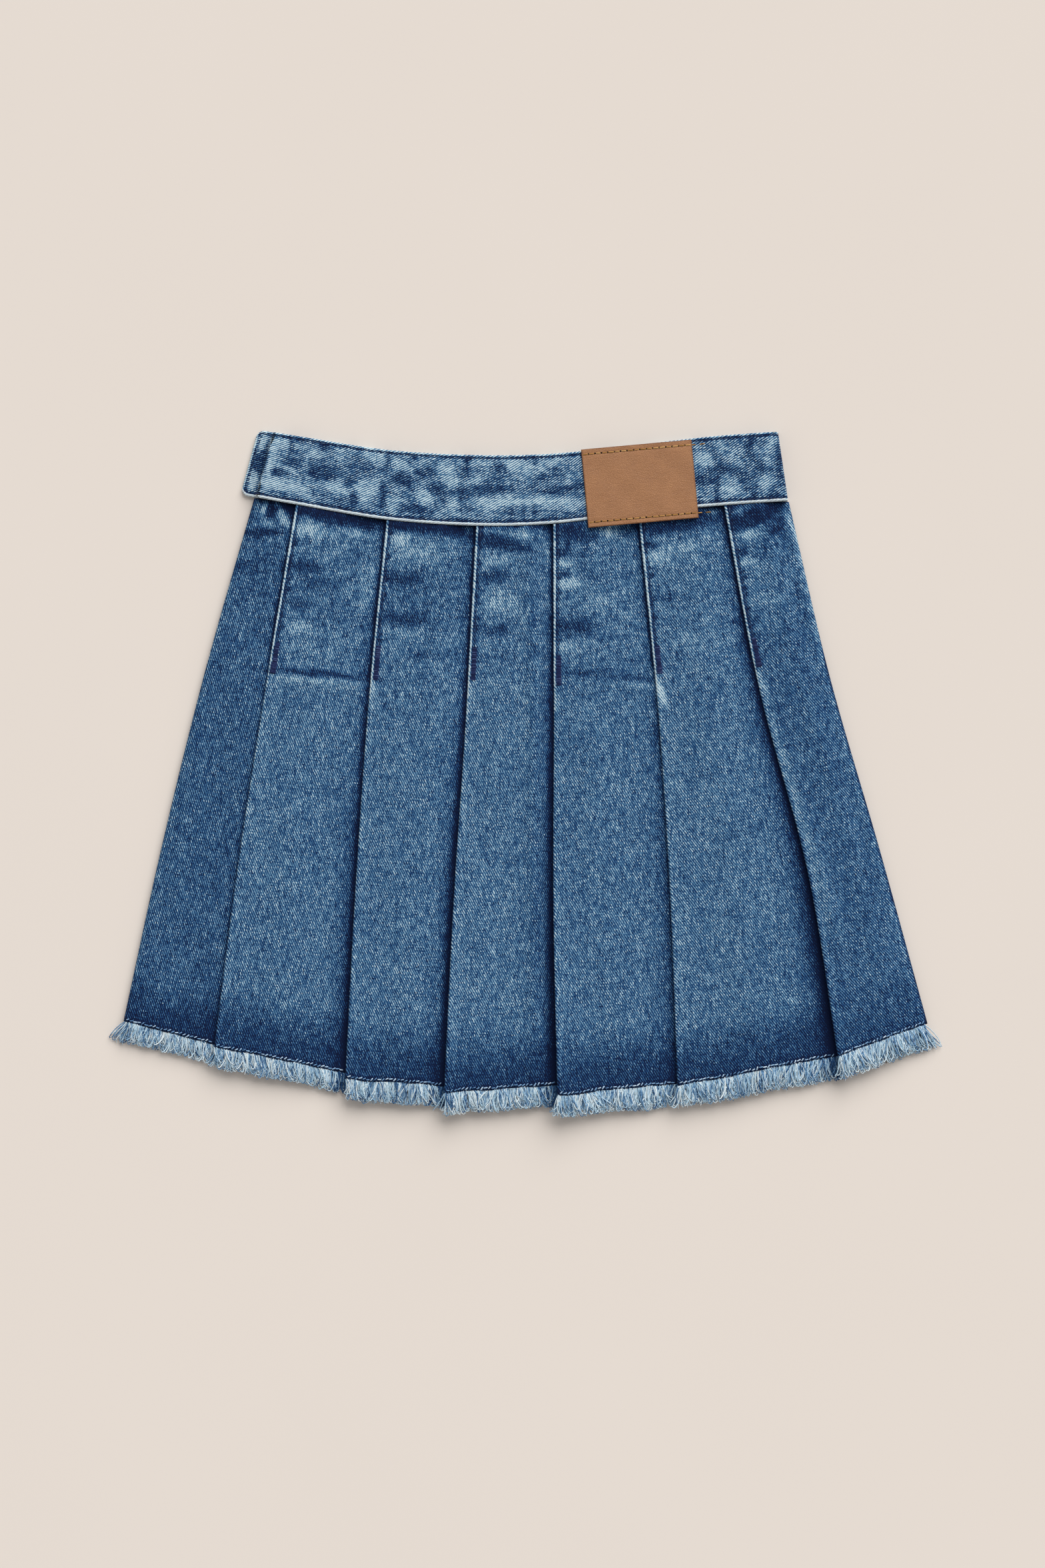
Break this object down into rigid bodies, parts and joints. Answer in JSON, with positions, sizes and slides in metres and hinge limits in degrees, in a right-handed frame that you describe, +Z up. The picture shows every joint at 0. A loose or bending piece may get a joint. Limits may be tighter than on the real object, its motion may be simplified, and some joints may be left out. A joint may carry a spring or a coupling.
{
  "type": "pleated denim skirt, laid flat",
  "caption": "Short girl's skirt in blue denim with knife pleats, a waistband with a tab end, a bare leather patch and a frayed hem, laid flat with its back up.",
  "frame": {"origin": "on the surface that the skirt lies on, under the middle of its outline", "axes": "+X to the right and +Y towards the waistband as the back is looked at, +Z up off the surface"},
  "size_m": [0.4302, 0.3584, 0.0116],
  "materials": {
    "denim": "washed twill, matt",
    "waistband_denim": "washed twill with worn ridges, matt",
    "frayed_yarn": "loose cotton threads, matt",
    "patch_leather": "smooth tan leather, semi-matt"
  },
  "bodies": {
    "root": {"skirt_back": "denim", "skirt_front": "denim", "waistband_back": "waistband_denim", "waistband_front_tab": "waistband_denim", "leather_patch": "patch_leather", "frayed_hem_back_1": "frayed_yarn", "frayed_hem_back_2": "frayed_yarn", "frayed_hem_back_3": "frayed_yarn", "frayed_hem_back_4": "frayed_yarn", "frayed_hem_back_5": "frayed_yarn", "frayed_hem_back_6": "frayed_yarn", "frayed_hem_back_7": "frayed_yarn", "frayed_hem_front_1": "frayed_yarn", "frayed_hem_front_2": "frayed_yarn", "frayed_hem_front_3": "frayed_yarn", "frayed_hem_front_4": "frayed_yarn", "frayed_hem_front_5": "frayed_yarn", "frayed_hem_front_6": "frayed_yarn", "frayed_hem_front_7": "frayed_yarn"}
  },
  "joints": []
}
